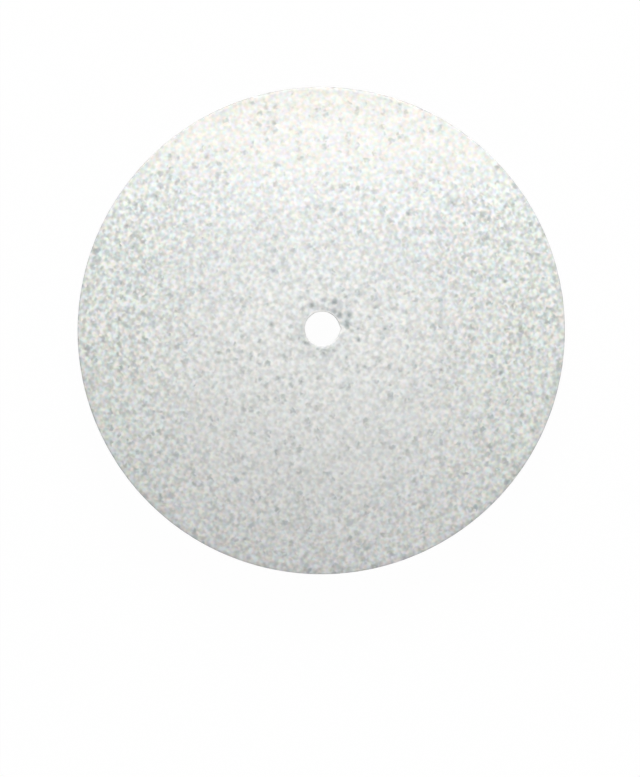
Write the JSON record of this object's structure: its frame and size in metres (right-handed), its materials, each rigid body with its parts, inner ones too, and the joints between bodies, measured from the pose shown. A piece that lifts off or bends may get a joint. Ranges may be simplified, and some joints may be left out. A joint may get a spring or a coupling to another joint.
{
  "type": "knife-edge polishing wheel",
  "caption": "Thin lens-shaped polishing wheel of abrasive-filled silicone rubber, with two domed faces, a knife edge and a plain centre bore.",
  "frame": {"origin": "middle of the bore, on the wheel's axis, halfway between the two faces", "axes": "+Z along the bore, the wheel's axis of rotation; the wheel lies flat, and X and Y lie in the plane of the knife edge"},
  "size_m": [0.022, 0.022, 0.0042],
  "materials": {
    "bonded_abrasive": "matte, finely granular, greyish white with darker grains"
  },
  "bodies": {
    "root": {"polishing_wheel": "bonded_abrasive"}
  },
  "joints": []
}
